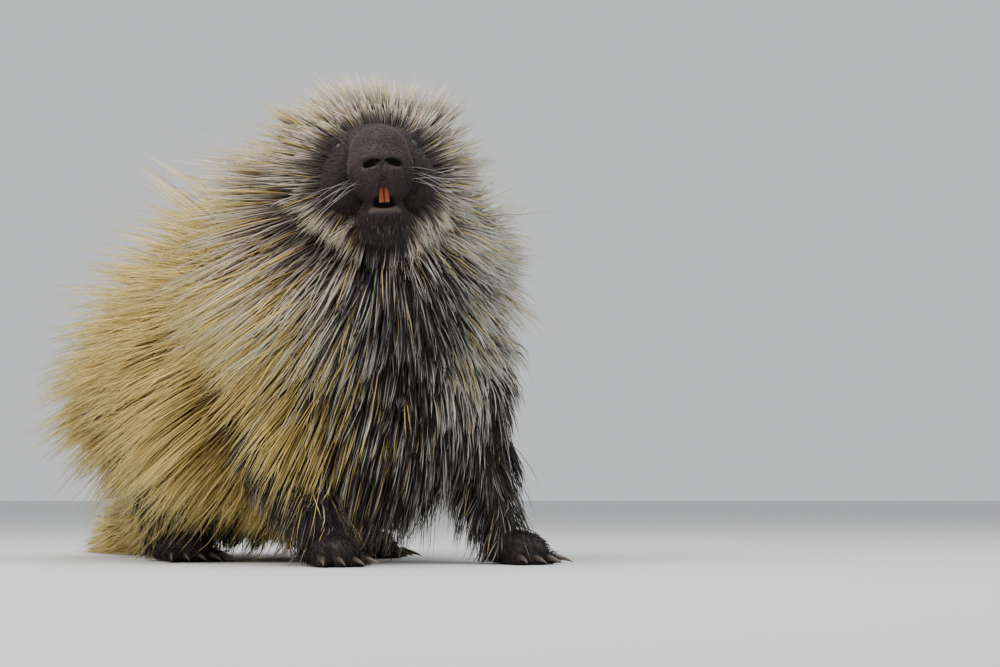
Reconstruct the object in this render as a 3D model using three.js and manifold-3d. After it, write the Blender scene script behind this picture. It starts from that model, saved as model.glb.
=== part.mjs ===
// A North American porcupine, life-size, crouched on all fours with its head raised and turned to its right.
// Millimetres, +Z up. The animal faces -Y, its left side is +X, and the floor is z = 0.
import * as THREE from 'three';
import { mergeVertices } from 'three/addons/utils/BufferGeometryUtils.js';
import { MeshSurfaceSampler } from 'three/addons/math/MeshSurfaceSampler.js';
import Module from 'manifold-3d';

const wasm = await Module();
wasm.setup();

// Driving dimensions
const GAP = 0.3; // between pieces that touch
const HEAD_YAW = 32; // degrees the face is turned to the animal's right
const HEAD_PITCH = 8; // degrees the nose is raised
const HEAD_ROLL = 4; // degrees the head leans to the animal's right
const HEAD_AT = [-51, -136, 356]; // middle of the skull
const EYE_RADIUS = 6.2;
const EYE_AT = [31.5, -13.5, 19]; // in the head's own frame, on the left side
const NOSTRIL_AT = [9.8, -80, -15];
const EYE_GAZE = [0.78, -0.55, 0.22];
const EAR_AT = [43, 18, 26];
const TAIL_LENGTH = 215;
const CLAW_LENGTH = { fore: 22, hind: 24 };

const COLOUR = {
  coat: 0x8d7a4b,
  dark: 0x2b2220,
  face: 0x33292a,
  eye: 0x0c0908,
  tooth: 0xc4560f,
  claw: 0x2a221c,
};

const vector = (p) => new THREE.Vector3(...p);
const UP = new THREE.Vector3(0, 0, 1);

// Moulding blobs: each is an ellipsoid, or a limb with a radius at either end.
const ball = (at, size, tilt = 0) => ({
  at: vector(at), size: vector(size), tilt: THREE.MathUtils.degToRad(tilt),
});
const limb = (from, to, radiusFrom, radiusTo) => ({
  from: vector(from), to: vector(to), radiusFrom, radiusTo,
});

// The signed distance from a point to one blob, negative inside. An ellipsoid's is a close estimate.
function distanceTo(blob, point) {
  if (blob.from) {
    const along = blob.to.clone().sub(blob.from);
    const share = THREE.MathUtils.clamp(point.clone().sub(blob.from).dot(along) / along.lengthSq(), 0, 1);
    const nearest = blob.from.clone().addScaledVector(along, share);
    return point.distanceTo(nearest) - THREE.MathUtils.lerp(blob.radiusFrom, blob.radiusTo, share);
  }
  const own = point.clone().sub(blob.at).applyAxisAngle(new THREE.Vector3(1, 0, 0), -blob.tilt);
  const unit = own.clone().divide(blob.size);
  const reach = unit.length();
  if (reach < 1e-6) return -Math.min(...blob.size.toArray());
  return (reach * (reach - 1)) / unit.divide(blob.size).length();
}

// Two distances melted together over a width.
function melt(a, b, width) {
  const share = Math.max(width - Math.abs(a - b), 0) / width;
  return Math.min(a, b) - (share * share * width) / 4;
}

const moulded = (blobs, width) => (point) =>
  blobs.map((blob) => distanceTo(blob, point)).reduce((a, b) => melt(a, b, width));

const mirrored = (side, [x, y, z]) => [side * x, y, z];

const TRUNK = moulded([
  ball([-6, 148, 140], [108, 112, 108], -6),
  ball([-2, 48, 168], [103, 118, 114], 6),
  ball([2, -70, 188], [92, 90, 108], 0),
  ball([62, -92, 170], [42, 46, 66]),
  ball([-56, -76, 170], [42, 46, 66]),
], 34);
const TRUNK_LINE = [[-6, 178, 136], [-4, 110, 156], [0, 0, 176], [2, -82, 190]];

// The trunk is moulded whole and parted by thin upright cuts at these places along it.
const WAIST = 104;
const RIBS = -10;
const TRUNK_PIECES = { chest: [-600, RIBS], loin: [RIBS, WAIST], rump: [WAIST, 600] };

const NECK = moulded([
  ball([-12, -90, 266], [70, 66, 72]),
  ball([-34, -102, 328], [54, 49, 52]),
], 30);
const NECK_LINE = [[-4, -84, 240], [-16, -96, 284], [-32, -102, 336]];

// The head, in its own frame: the nose points to -Y and the middle of the skull is the origin.
const HEAD = moulded([
  ball([0, 16, 8], [43, 50, 40]),
  ball([26, -6, -16], [23, 34, 30]),
  ball([-26, -6, -16], [23, 34, 30]),
  ball([0, -36, 9], [24, 42, 19]),
  ball([0, -54, -12], [27, 29, 25]),
  ball([10, -64, -29], [13, 14, 13]),
  ball([-10, -64, -29], [13, 14, 13]),
  ball([0, -34, -54], [22, 32, 17]),
], 12);
const HEAD_LINE = [[0, 22, 0], [0, -12, -4], [0, -44, -16]];

const TAIL = moulded([
  limb([-4, 226, 114], [0, 292, 62], 50, 38),
  limb([0, 292, 62], [4, 362, 34], 38, 27),
  limb([4, 362, 34], [10, 232 + TAIL_LENGTH, 15], 27, 15),
], 20);
const TAIL_LINE = [[-4, 216, 120], [0, 292, 62], [4, 362, 34], [9, 440, 16]];
const TAIL_BEND = 318; // where the tail is parted, just as it levels out
const TAIL_PIECES = { tail_base: [-600, TAIL_BEND], tail_tip: [TAIL_BEND, 600] };

// A foreleg hangs from the shoulder, bends at the elbow and comes forward to the wrist.
const foreleg = (shoulder, elbow, wrist) => ({
  blobs: [limb(shoulder, elbow, 42, 30), limb(elbow, wrist, 30, 17)],
  line: [shoulder, elbow, wrist],
});

// A hind leg is folded: the thigh lies along the flank and the shin comes back down to the heel.
const hindleg = (thigh, heel) => ({
  blobs: [ball(thigh, [46, 76, 76], 20), limb([thigh[0], thigh[1] - 4, 70], heel, 34, 20)],
  line: [thigh, [(thigh[0] + heel[0]) / 2, heel[1] - 12, 62], heel],
});

const LEGS = {
  foreleg_left: foreleg([68, -104, 172], [88, -98, 104], [84, -148, 30]),
  foreleg_right: foreleg([-64, -66, 172], [-88, -48, 104], [-86, -100, 30]),
  hindleg_left: hindleg([80, 122, 102], [93, 148, 28]),
  hindleg_right: hindleg([-88, 122, 102], [-101, 148, 28]),
};

// Each paw has a heel, a ball of the foot, and toes that fan out from it.
const FOREPAW = { toes: 4, claw: CLAW_LENGTH.fore, width: 19 };
const HINDPAW = { toes: 5, claw: CLAW_LENGTH.hind, width: 23 };
const PAWS = {
  forepaw_left: { heel: [85, -150, 17], front: [87, -182, 13], ...FOREPAW },
  forepaw_right: { heel: [-87, -102, 17], front: [-91, -134, 13], ...FOREPAW },
  hindpaw_left: { heel: [94, 146, 19], front: [104, 84, 13], ...HINDPAW },
  hindpaw_right: { heel: [-102, 146, 19], front: [-112, 84, 13], ...HINDPAW },
};
const TOE_LENGTH = 15;
const TOE_RADIUS = 6.2;
const TOE_FAN = 44; // degrees between the outer toes

// The long coat. On each part: how far apart the locks are rooted, how long they are, how steeply they leave
// the body in degrees, and the way they lie where the face is far off.
const LOCK_WIDTH = 0.96; // of the spacing
const LOCK_TAPER = [0.8, 1, 0.72, 0]; // width at the root, at each third, and at the tip
const LOCK_THICKNESS = [0.4, 0.3, 0.22, 0];
const TRIES = [[0, 1], [-10, 1], [12, 1], [-20, 0.8], [22, 0.8], [-28, 0.6]]; // lift changed by, length times
const UNDERSIDE = -0.8; // below this much of a downward slant the belly carries no locks
const LOCK_ROOT = 9; // how deep a root is sunk
const LIFT_LEAST = 0.4; // the share of its lift that a coat keeps where it is shortest
const SETTLE = 0.24; // how much of the lie a lock takes up at each third
const HOLD_OFF = 5; // how far a lock's middle line is kept from the parts it passes
const COATS = {
  head: { spacing: 17, length: 54, lift: 54, droop: 0.02, lie: [0, 1, 0] },
  neck: { spacing: 28, length: 124, lift: 48, droop: 0.05, lie: [0, 0.7, -0.5] },
  chest: { spacing: 42, length: 104, lift: 36, droop: 0.12, lie: [0, 0.8, -0.45] },
  loin: { spacing: 43, length: 112, lift: 46, droop: 0.1, lie: [0, 0.85, -0.4] },
  rump: { spacing: 43, length: 100, lift: 40, droop: 0.1, lie: [0, 0.85, -0.5] },
  tail_base: { spacing: 36, length: 66, lift: 32, droop: 0.06, lie: [0, 1, -0.5] },
  tail_tip: { spacing: 31, length: 52, lift: 26, droop: 0.04, lie: [0, 1, -0.15] },
  foreleg_left: { spacing: 34, length: 46, lift: 20, droop: 0.1, lie: [0, 0.25, -1] },
  foreleg_right: { spacing: 34, length: 46, lift: 20, droop: 0.1, lie: [0, 0.25, -1] },
  hindleg_left: { spacing: 38, length: 58, lift: 24, droop: 0.1, lie: [0, 0.5, -1] },
  hindleg_right: { spacing: 38, length: 58, lift: 24, droop: 0.1, lie: [0, 0.5, -1] },
};
const QUILLS = { loin: 8, rump: 14, tail_base: 8 };
const QUILL = { length: 58, radius: 1.8, lift: 52 };

// A closed geometry as a solid, and back.
function solidOf(geometry) {
  const plain = geometry.clone();
  plain.deleteAttribute('normal');
  plain.deleteAttribute('uv');
  const merged = mergeVertices(plain, 1e-4);
  return new wasm.Manifold(new wasm.Mesh({
    numProp: 3,
    vertProperties: new Float32Array(merged.attributes.position.array),
    triVerts: new Uint32Array(merged.index.array),
  }));
}

function geometryOf(solid) {
  const mesh = solid.getMesh();
  const geometry = new THREE.BufferGeometry();
  geometry.setAttribute('position', new THREE.BufferAttribute(mesh.vertProperties, 3));
  geometry.setIndex(new THREE.BufferAttribute(mesh.triVerts, 1));
  return geometry;
}

// A piece keeps only its largest closed surface.
const largest = (solid) => solid.decompose().reduce((a, b) => (b.volume() > a.volume() ? b : a));

// The surface where a moulded field reaches a level, as a sphere stretched along a line through the part.
function moulding(field, line, level, around, along) {
  const curve = new THREE.CatmullRomCurve3(line.map(vector));
  const chord = vector(line.at(-1)).sub(vector(line[0])).normalize();
  const side = new THREE.Vector3(1, 0, 0).addScaledVector(chord, -chord.x).normalize();
  const geometry = new THREE.SphereGeometry(1, around, along);
  const places = geometry.attributes.position;
  for (let i = 0; i < places.count; i += 1) {
    const unit = new THREE.Vector3().fromBufferAttribute(places, i);
    const share = (1 - unit.y) / 2;
    const base = curve.getPoint(share);
    const ahead = curve.getTangent(share);
    const across = side.clone().addScaledVector(ahead, -side.dot(ahead)).normalize();
    const up = ahead.clone().cross(across);
    const girth = Math.hypot(unit.x, unit.z);
    const way = across.multiplyScalar(unit.x).addScaledVector(up, unit.z)
      .addScaledVector(ahead, -Math.sign(unit.y) * Math.abs(unit.y) ** 3)
      .addScaledVector(ahead, girth < 1e-6 ? -unit.y : 0)
      .normalize();
    const spot = surfaceAlong(field, base, way, level);
    places.setXYZ(i, spot.x, spot.y, spot.z);
  }
  return solidOf(geometry);
}

// Walks out from a point inside the field to the place where the field reaches the level.
function surfaceAlong(field, base, way, level) {
  const step = 4;
  const inside = (out) => {
    const point = base.clone().addScaledVector(way, out);
    return field(point) < level;
  };
  let low = 0;
  while (inside(low + step)) low += step;
  let high = low + step;
  for (let i = 0; i < 16; i += 1) {
    const middle = (low + high) / 2;
    if (inside(middle)) low = middle;
    else high = middle;
  }
  return base.clone().addScaledVector(way, low);
}

// A part and the slightly larger shape that cuts its neighbours clear of it.
const part = (make) => ({ solid: make(0), cutter: make(GAP) });

function box(low, high) {
  const size = vector(high).sub(vector(low));
  const middle = vector(low).add(vector(high)).multiplyScalar(0.5);
  return solidOf(new THREE.BoxGeometry(...size.toArray()).translate(...middle.toArray()));
}

const BELOW_FLOOR = box([-600, -600, -300], [600, 800, 0]);

const headFrame = new THREE.Matrix4()
  .makeTranslation(...HEAD_AT)
  .multiply(new THREE.Matrix4().makeRotationZ(THREE.MathUtils.degToRad(-HEAD_YAW)))
  .multiply(new THREE.Matrix4().makeRotationX(THREE.MathUtils.degToRad(-HEAD_PITCH)))
  .multiply(new THREE.Matrix4().makeRotationY(THREE.MathUtils.degToRad(-HEAD_ROLL)));

const inHeadFrame = (solid) => solid.transform(headFrame.toArray());

const ellipsoid = (at, size, around = 12, along = 8, turn = [0, 0, 0]) =>
  solidOf(new THREE.SphereGeometry(1, around, along)
    .scale(...size)
    .rotateX(THREE.MathUtils.degToRad(turn[0]))
    .rotateY(THREE.MathUtils.degToRad(turn[1]))
    .rotateZ(THREE.MathUtils.degToRad(turn[2]))
    .translate(...at));

const eyeball = (side, extra) => ellipsoid(mirrored(side, EYE_AT), Array(3).fill(EYE_RADIUS + extra), 9, 7);

// A ring of lids round an eye, facing forward and outward as the eye does
function lids(side) {
  const gaze = vector(mirrored(side, EYE_GAZE)).normalize();
  const turn = new THREE.Quaternion().setFromUnitVectors(new THREE.Vector3(0, 0, 1), gaze);
  return solidOf(new THREE.TorusGeometry(EYE_RADIUS - 0.4, 2.2, 5, 10)
    .applyQuaternion(turn)
    .translate(...vector(mirrored(side, EYE_AT)).addScaledVector(gaze, 2).toArray()));
}

// The head with its lids, nostrils and parted lips
function head() {
  const make = (extra) => {
    let shape = moulding(HEAD, HEAD_LINE, extra, 24, 20);
    if (extra > 0) return shape;
    shape = shape.add(ellipsoid([0, -60, -52], [14, 9, 6.5], 10, 6));
    for (const side of [1, -1]) {
      shape = shape.add(lids(side));
      shape = shape.subtract(ellipsoid(mirrored(side, NOSTRIL_AT), [8.2, 8, 3.3], 10, 6, [0, side * 12, 0]));
      shape = shape.subtract(eyeball(side, GAP));
    }
    return shape.subtract(ellipsoid([0, -70, -45], [11, 16, 4], 12, 8));
  };
  const made = part(make);
  return { solid: inHeadFrame(made.solid), cutter: inHeadFrame(made.cutter) };
}

const eye = (side) => part((extra) => inHeadFrame(eyeball(side, extra)));

// A small round ear: a flattened cup that faces forward and outward
function ear(side) {
  const turn = new THREE.Matrix4()
    .makeTranslation(...mirrored(side, EAR_AT))
    .multiply(new THREE.Matrix4().makeRotationZ(THREE.MathUtils.degToRad(side * 38)));
  return part((extra) => {
    const shell = ellipsoid([0, 0, 0], [12 + extra, 6 + extra, 15 + extra], 11, 7);
    const hollow = ellipsoid([0, -5, 1], [8.5, 6, 11], 9, 6);
    return inHeadFrame((extra > 0 ? shell : shell.subtract(hollow)).transform(turn.toArray()));
  });
}

// One of the two long upper front teeth, a slightly curved chisel
function incisor(side) {
  return part((extra) => {
    const geometry = new THREE.BoxGeometry(4.4 + extra, 3.6 + extra, 17 + extra, 1, 1, 4);
    const places = geometry.attributes.position;
    for (let i = 0; i < places.count; i += 1) {
      const down = (8.5 - places.getZ(i)) / 17;
      places.setY(i, places.getY(i) * (1 - 0.45 * down) + 3 * down * down);
    }
    return inHeadFrame(solidOf(geometry.translate(side * 2.45, -72, -39)));
  });
}

function leg(field, line) {
  return part((extra) => moulding(field, line, extra, 11, 9));
}

// Where a paw's toes start and the way each points
function toesOf({ heel, front, toes, width }) {
  const ahead = vector(front).sub(vector(heel)).setZ(0).normalize();
  return Array.from({ length: toes }, (_, i) => {
    const share = toes > 1 ? i / (toes - 1) - 0.5 : 0;
    const way = ahead.clone().applyAxisAngle(UP, -THREE.MathUtils.degToRad(TOE_FAN) * share);
    const across = ahead.clone().cross(UP);
    const root = vector(front).setZ(TOE_RADIUS - 0.5).addScaledVector(across, share * width * 1.5)
      .addScaledVector(ahead, -6 * Math.abs(share));
    return { root, way };
  });
}

function paw(spec) {
  const { heel, front, width } = spec;
  const middle = vector(heel).add(vector(front)).multiplyScalar(0.5).setZ(14);
  const reach = vector(heel).distanceTo(vector(front));
  const ahead = vector(front).sub(vector(heel));
  const turn = THREE.MathUtils.radToDeg(Math.atan2(ahead.y, ahead.x)) - 90;
  return part((extra) => {
    const size = [width, reach / 2 + 20, 15.5].map((half) => half + extra);
    let shape = ellipsoid(middle.toArray(), size, 11, 7, [0, 0, turn]);
    for (const { root, way } of toesOf(spec)) {
      const toe = new THREE.CapsuleGeometry(TOE_RADIUS + extra, TOE_LENGTH, 2, 6)
        .applyQuaternion(new THREE.Quaternion().setFromUnitVectors(new THREE.Vector3(0, 1, 0), way))
        .translate(...root.clone().addScaledVector(way, TOE_LENGTH / 2).toArray());
      shape = shape.add(solidOf(toe));
    }
    return shape.subtract(BELOW_FLOOR);
  });
}

// A long curved claw that leaves the toe's tip and comes down to the floor
function claw({ root, way }, length) {
  const geometry = new THREE.ConeGeometry(3, length, 5, 3).translate(0, length / 2, 0);
  const places = geometry.attributes.position;
  for (let i = 0; i < places.count; i += 1) {
    const share = places.getY(i) / length;
    places.setZ(i, places.getZ(i) + 5 * share * share);
  }
  const across = way.clone().cross(UP);
  const frame = new THREE.Matrix4().makeBasis(across.clone().negate(), way, UP.clone().negate());
  const start = root.clone().addScaledVector(way, TOE_LENGTH + TOE_RADIUS - 5);
  return solidOf(geometry.applyMatrix4(frame).translate(start.x, start.y, start.z + 1.5));
}

// Seeded random numbers, so that the coat is the same every time
function randomFrom(seed) {
  let state = seed;
  return () => {
    state = (state + 0x6d2b79f5) | 0;
    let mixed = Math.imul(state ^ (state >>> 15), 1 | state);
    mixed = (mixed + Math.imul(mixed ^ (mixed >>> 7), 61 | mixed)) ^ mixed;
    return ((mixed ^ (mixed >>> 14)) >>> 0) / 4294967296;
  };
}
const random = randomFrom(11);
const vary = (amount) => 1 + amount * (2 * random() - 1);

const group = new THREE.Group();
const FACE = new THREE.Vector3(0, -52, -16).applyMatrix4(headFrame);
const intoHead = headFrame.clone().invert();
const cores = {}; // each part's bare core, its cutter and its field
const locks = []; // every lock made so far, with the part it grows on

function place(name, solid, colour, roughness = 0.85) {
  const material = new THREE.MeshStandardMaterial({ color: colour, roughness, metalness: 0 });
  const mesh = new THREE.Mesh(geometryOf(largest(solid)), material);
  mesh.name = name;
  group.add(mesh);
}

// Cuts a new core clear of all that is there already, then keeps it as a cutter for what comes next.
function settle(name, { solid, cutter }, field) {
  const clear = Object.values(cores).reduce((shape, earlier) => shape.subtract(earlier.cutter), solid);
  cores[name] = { solid: clear.subtract(BELOW_FLOOR), cutter, field };
}

// Settles a long part in lengths, parted by thin upright cuts.
function settleInLengths(pieces, { solid, cutter }, field) {
  const clear = Object.values(cores).reduce((shape, earlier) => shape.subtract(earlier.cutter), solid);
  for (const [name, [front, back]] of Object.entries(pieces)) {
    const within = (slack) => box([-600, front + slack, -10], [600, back - slack, 600]);
    const own = (point) => Math.max(field(point), front - point.y, point.y - back);
    cores[name] = {
      solid: clear.intersect(within(GAP / 2)).subtract(BELOW_FLOOR),
      cutter: cutter.intersect(within(-GAP / 2)),
      field: own,
    };
  }
}

// The way the hair lies at a point: away from the face near it, and the part's own way further off
function flowAt(point, lie) {
  const away = point.clone().sub(FACE);
  const near = Math.exp(-away.length() / 150);
  const own = vector(lie).normalize().multiplyScalar(1 - near);
  return own.addScaledVector(away.normalize(), 1.3 * near).normalize();
}

// The distance from a point to the nearest core, and the way straight out from it
const anyCore = (point) => Math.min(...Object.values(cores).map(({ field }) => field(point)));
function outFrom(field, point) {
  const slope = [0, 1, 2].map((axis) => {
    const nudge = new THREE.Vector3().setComponent(axis, 0.5);
    return field(point.clone().add(nudge)) - field(point.clone().sub(nudge));
  });
  return vector(slope).normalize();
}

// The line that a lock follows: out of its root, then bending over to lie along the coat
function lieFrom(root, out, { length, lift, lie, droop }) {
  const steps = LOCK_TAPER.length - 1;
  const across = out.clone().multiplyScalar(out.dot(flowAt(root, lie)));
  const flat = flowAt(root, lie).sub(across).normalize();
  const angle = THREE.MathUtils.degToRad(lift);
  const way = flat.multiplyScalar(Math.cos(angle)).addScaledVector(out, Math.sin(angle));
  const points = [root.clone().addScaledVector(out, -LOCK_ROOT)];
  let point = root.clone();
  for (let i = 0; i < steps; i += 1) {
    point = point.clone().addScaledVector(way, length / steps);
    const short = HOLD_OFF - anyCore(point);
    if (short > 0) point.addScaledVector(outFrom(anyCore, point), short);
    point.z = Math.max(point.z, HOLD_OFF);
    points.push(point);
    way.lerp(flowAt(point, lie), SETTLE).addScaledVector(UP, -droop).normalize();
  }
  return points;
}

// A flat tapered lock along its line: a cone of three sides, pressed flat and bent, with its ridge outwards
function lockAlong(points, out, width, extra) {
  const steps = LOCK_TAPER.length - 1;
  const geometry = new THREE.ConeGeometry(1, 1, 3, steps);
  const places = geometry.attributes.position;
  for (let i = 0; i < places.count; i += 1) {
    const station = Math.round((places.getY(i) + 0.5) * steps);
    const girth = 1 - station / steps;
    const turnX = girth > 0 ? places.getX(i) / girth : 0;
    const turnZ = girth > 0 ? places.getZ(i) / girth : 0;
    const next = points[Math.min(station + 1, steps)];
    const ahead = next.clone().sub(points[Math.max(station - 1, 0)]).normalize();
    const across = ahead.clone().cross(out).normalize();
    const up = across.clone().cross(ahead);
    const spot = points[station].clone()
      .addScaledVector(across, turnX * (width / 2 * LOCK_TAPER[station] + extra) / Math.cos(Math.PI / 6))
      .addScaledVector(up, turnZ * (width / 2 * LOCK_THICKNESS[station] + extra));
    places.setXYZ(i, spot.x, spot.y, spot.z);
  }
  return solidOf(geometry);
}

// Whether a new lock would touch one that grows on another part
function meetsAnother(name, shape, middle) {
  return locks.some((other) => other.name !== name && other.middle.distanceTo(middle) < 110
    && !other.cutter.intersect(shape).isEmpty());
}

// How long the coat is at a point, as a share of its part's full length: short on the belly and throat
function fullness(name, point) {
  const ramp = (value, from, to, least) => {
    const share = THREE.MathUtils.smoothstep(value, from, to);
    return THREE.MathUtils.lerp(least, 1, share);
  };
  if (name === 'neck') return ramp(point.y, -150, -105, 0.45);
  if (name === 'chest') return ramp(point.y, -150, -90, 0.5);
  if (name === 'loin' || name === 'rump') return ramp(point.z, 50, 120, 0.5);
  return 1;
}

// Bare places: the face and round the eyes and ears, the soles, and the feet
function isBare(name, point) {
  if (name !== 'head') return point.z < 26 && !name.startsWith('tail');
  const own = point.clone().applyMatrix4(intoHead);
  const side = Math.sign(own.x);
  const nearEye = own.distanceTo(vector(mirrored(side, EYE_AT))) < 19;
  const nearEar = own.distanceTo(vector(mirrored(side, EAR_AT))) < 17;
  return own.y < -2 - 0.25 * Math.abs(own.z + 10) || nearEye || nearEar;
}

// Roots spread over a part's surface, none closer to another than the spacing
function rootsOn(name, spacing) {
  const mesh = new THREE.Mesh(geometryOf(cores[name].solid));
  const sampler = new MeshSurfaceSampler(mesh).setRandomGenerator(random).build();
  const roots = [];
  for (let i = 0; i < 2500; i += 1) {
    const point = new THREE.Vector3();
    sampler.sample(point);
    const elsewhere = Object.entries(cores)
      .some(([other, { field }]) => other !== name && field(point) < spacing * 0.22);
    const crowded = roots.some((root) => root.distanceTo(point) < spacing);
    if (!elsewhere && !crowded && point.z > 6 && !isBare(name, point)) roots.push(point);
  }
  return roots.sort((a, b) => b.distanceTo(FACE) - a.distanceTo(FACE));
}

// Grows a part's coat: each root tries a few leans until its lock is clear of the other parts' locks.
function growCoat(name) {
  const coat = COATS[name];
  const width = coat.spacing * LOCK_WIDTH;
  for (const root of rootsOn(name, coat.spacing)) {
    const out = outFrom(cores[name].field, root);
    if (out.z < UNDERSIDE) continue;
    const full = coat.length * fullness(name, root) * vary(0.18);
    for (const [lean, share] of TRIES) {
      const lift = coat.lift * THREE.MathUtils.lerp(LIFT_LEAST, 1, full / coat.length) + lean + 4 * vary(1);
      const points = lieFrom(root, out, { ...coat, length: full * share, lift });
      const cutter = lockAlong(points, out, width, GAP);
      if (meetsAnother(name, cutter, points[2])) continue;
      locks.push({ name, solid: lockAlong(points, out, width, 0), cutter, middle: points[2] });
      break;
    }
  }
}

// Stiff quills that stand up through the coat of the lower back and tail
function growQuills(name) {
  for (const root of rootsOn(name, 34).slice(0, QUILLS[name])) {
    const out = outFrom(cores[name].field, root);
    const [foot, , , tip] = lieFrom(root, out, { ...COATS[name], ...QUILL });
    const shapeOf = (extra) => {
      const way = tip.clone().sub(foot);
      const geometry = new THREE.ConeGeometry(QUILL.radius + extra, way.length() + extra, 5)
        .translate(0, way.length() / 2, 0);
      const turn = new THREE.Quaternion().setFromUnitVectors(new THREE.Vector3(0, 1, 0), way.normalize());
      return solidOf(geometry.applyQuaternion(turn).translate(...foot.toArray()));
    };
    const middle = foot.clone().lerp(tip, 0.6);
    const cutter = shapeOf(GAP);
    if (out.z < 0.2 || meetsAnother(name, cutter, middle)) continue;
    locks.push({ name, solid: shapeOf(0), cutter, middle });
  }
}

// A part with its coat: the locks are cut clear of the other parts' cores, then joined to their own.
function dressed(name) {
  const own = locks.filter((lock) => lock.name === name).map((lock) => lock.solid);
  if (own.length === 0) return cores[name].solid;
  const others = Object.entries(cores).filter(([other]) => other !== name).map(([, core]) => core.cutter);
  const coat = others.reduce((shape, cutter) => shape.subtract(cutter), wasm.Manifold.union(own));
  return cores[name].solid.add(coat.subtract(BELOW_FLOOR));
}

// The bare cores, from the head back
for (const side of [1, -1]) {
  const name = side > 0 ? 'left' : 'right';
  settle(`eye_${name}`, eye(side), () => 100);
  settle(`ear_${name}`, ear(side), () => 100);
  settle(`incisor_${name}`, incisor(side), () => 100);
}
settle('head', head(), (point) => HEAD(point.clone().applyMatrix4(intoHead)));
settleInLengths(TRUNK_PIECES, part((extra) => moulding(TRUNK, TRUNK_LINE, extra, 24, 18)), TRUNK);
settle('neck', part((extra) => moulding(NECK, NECK_LINE, extra, 18, 12)), NECK);
settleInLengths(TAIL_PIECES, part((extra) => moulding(TAIL, TAIL_LINE, extra, 14, 12)), TAIL);
for (const [name, spec] of Object.entries(PAWS)) {
  const made = paw(spec);
  toesOf(spec).forEach((toe, i) => {
    const nail = claw(toe, spec.claw).subtract(made.cutter).subtract(BELOW_FLOOR);
    place(`claw_${name}_${i + 1}`, nail, COLOUR.claw, 0.4);
  });
  settle(name, made, moulded([limb(spec.heel, spec.front, spec.width, spec.width)], 1));
}
for (const [name, { blobs, line }] of Object.entries(LEGS)) {
  const field = moulded(blobs, 18);
  settle(name, leg(field, line), field);
}

for (const name of Object.keys(COATS)) growCoat(name);
for (const name of Object.keys(QUILLS)) growQuills(name);

const colourOf = (name) => {
  const kind = name.split('_')[0];
  if (kind === 'eye') return [COLOUR.eye, 0.1];
  if (kind === 'incisor') return [COLOUR.tooth, 0.4];
  if (kind === 'head') return [COLOUR.face];
  return [kind.endsWith('leg') || kind.endsWith('paw') || kind === 'ear' ? COLOUR.dark : COLOUR.coat];
};
for (const name of Object.keys(cores)) place(name, dressed(name), ...colourOf(name));

// The origin is on the floor under the middle of the whole animal.
const footprint = new THREE.Box3().setFromObject(group).getCenter(new THREE.Vector3());
group.position.set(-footprint.x, -footprint.y, 0);

export default group;
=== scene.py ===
import math

import bpy
import numpy as np
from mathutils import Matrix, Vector
from mathutils.kdtree import KDTree


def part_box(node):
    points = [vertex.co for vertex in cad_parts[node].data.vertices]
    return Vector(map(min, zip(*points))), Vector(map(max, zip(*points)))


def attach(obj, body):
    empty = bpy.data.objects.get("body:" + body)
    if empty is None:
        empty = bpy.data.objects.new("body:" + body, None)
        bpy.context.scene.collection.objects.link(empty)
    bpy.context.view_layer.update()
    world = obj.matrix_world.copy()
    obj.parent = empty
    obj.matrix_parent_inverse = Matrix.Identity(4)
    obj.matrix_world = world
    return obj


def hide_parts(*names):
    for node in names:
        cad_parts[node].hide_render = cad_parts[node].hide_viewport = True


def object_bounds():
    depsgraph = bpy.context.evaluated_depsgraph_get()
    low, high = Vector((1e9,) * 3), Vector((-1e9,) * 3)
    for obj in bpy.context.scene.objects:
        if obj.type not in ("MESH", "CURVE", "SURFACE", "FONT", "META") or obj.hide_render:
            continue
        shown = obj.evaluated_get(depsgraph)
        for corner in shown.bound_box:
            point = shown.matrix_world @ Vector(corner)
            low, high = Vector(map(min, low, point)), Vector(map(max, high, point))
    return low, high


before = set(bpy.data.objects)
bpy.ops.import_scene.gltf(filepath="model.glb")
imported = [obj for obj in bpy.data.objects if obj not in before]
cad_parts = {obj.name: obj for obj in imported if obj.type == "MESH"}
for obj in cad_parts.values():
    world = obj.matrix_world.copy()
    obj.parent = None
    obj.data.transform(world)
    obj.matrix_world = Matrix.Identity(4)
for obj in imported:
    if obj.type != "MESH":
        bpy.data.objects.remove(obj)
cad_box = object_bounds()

MM = 0.001
rng = np.random.default_rng(23)

# Driving dimensions, in millimetres and degrees
HEAD_AT = np.array([-51.0, -136.0, 356.0])
HEAD_YAW = 32
HEAD_PITCH = 8
HEAD_ROLL = 4
EYE_RADIUS = 6.2
EYE_AT = (31.5, -13.5, 19)
EYE_GAZE = (0.78, -0.55, 0.22)
NOSTRIL_AT = (9.8, -80, -15)
NOSTRIL_SIZE = (8.2, 8, 3.2)
NOSTRIL_TURN = 12
MOUTH_AT = (0, -72, -47)
MOUTH_SIZE = (11, 17, 5.5)
CLEFT_TOP = (0, -83, -29)  # the split in the upper lip
CLEFT_FOOT = (0, -77, -40)
EAR_AT = (43, 18, 26)
EAR_HOLLOW = (0, -5, 1)  # from the middle of the ear to the middle of its cup
EAR_TURN = 38
FACE_AT = (0, -52, -16)
WAIST = 104  # where the loin meets the rump, along the body
RIBS = -10  # where the chest meets the loin
TOE_LENGTH = 15
TOE_RADIUS = 6.2
TOE_FAN = 44
COARSE = 5.0  # cell of the skin's grid on the body
FINE = 1.5  # cell of the skin's grid round the head


# Moulding blobs

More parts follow.
